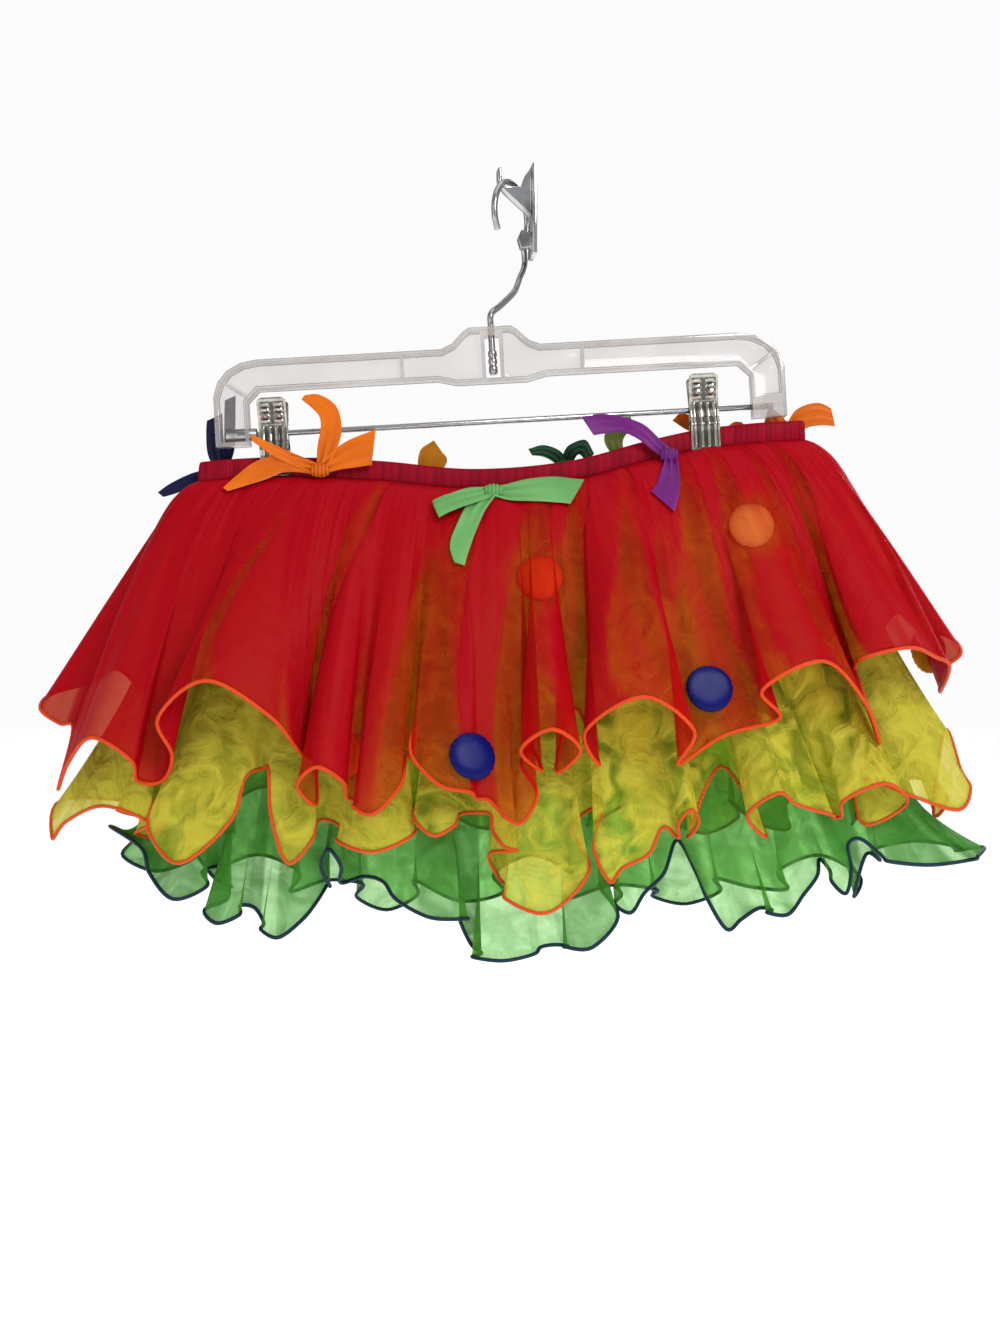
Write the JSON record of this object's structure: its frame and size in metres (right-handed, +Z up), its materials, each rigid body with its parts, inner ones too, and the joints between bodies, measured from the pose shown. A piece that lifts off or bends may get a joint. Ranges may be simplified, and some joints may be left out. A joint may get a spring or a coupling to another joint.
{
  "type": "layered tutu skirt on a clip hanger and coat hook",
  "caption": "Short skirt of sheer fluted layers with wired hems, an elastic waist, ribbon bows and padded dots, clipped to a clear hanger on a coat hook.",
  "frame": {"origin": "middle of the coat hook plate's flat back face", "axes": "+Z up, +X along the hanger's bar towards the skirt's right end as seen from the front, -Y to the front of the skirt"},
  "size_m": [0.5963, 0.2194, 0.4922],
  "materials": {
    "coat_hook_chrome": "polished plate",
    "hook_wire": "bright plated wire",
    "clear_plastic": "clear moulded styrene",
    "bar_steel": "drawn steel rod",
    "clip_steel": "plated spring steel",
    "crimson_elastic": "satin-covered elastic",
    "red_organza": "sheer nylon organza",
    "yellow_organza": "sheer nylon organza",
    "green_organza": "sheer nylon organza",
    "orange_satin": "satin ribbon",
    "light_green_satin": "satin ribbon",
    "purple_satin": "satin ribbon",
    "navy_satin": "satin ribbon",
    "mustard_satin": "satin ribbon",
    "dark_green_satin": "satin ribbon",
    "olive_satin": "satin ribbon",
    "blue_satin": "padded satin",
    "orange_dot_satin": "padded satin",
    "cream_satin": "padded satin",
    "gold_satin": "padded satin"
  },
  "bodies": {
    "root": {"coat_hook": "coat_hook_chrome", "hanger_hook": "hook_wire", "hanger_body": "clear_plastic", "clip_bar": "bar_steel", "clip_left_front": "clip_steel", "clip_left_back": "clip_steel", "clip_right_front": "clip_steel", "clip_right_back": "clip_steel", "waistband": "crimson_elastic", "red_front": "red_organza", "red_back": "red_organza", "yellow_front": "yellow_organza", "yellow_back": "yellow_organza", "green_front": "green_organza", "green_back": "green_organza", "bow_orange_left": "orange_satin", "bow_orange_right": "orange_satin", "bow_orange_back": "orange_satin", "bow_green_centre": "light_green_satin", "bow_purple": "purple_satin", "bow_navy": "navy_satin", "bow_mustard": "mustard_satin", "bow_dark_green": "dark_green_satin", "bow_olive": "olive_satin", "dot_blue_right": "blue_satin", "dot_blue_left": "blue_satin", "dot_back_blue": "blue_satin", "dot_back_navy": "blue_satin", "dot_orange_centre": "orange_dot_satin", "dot_orange_left": "orange_dot_satin", "dot_back_orange": "orange_dot_satin", "dot_cream": "cream_satin", "dot_gold_right": "gold_satin", "dot_back_gold": "gold_satin"}
  },
  "joints": []
}
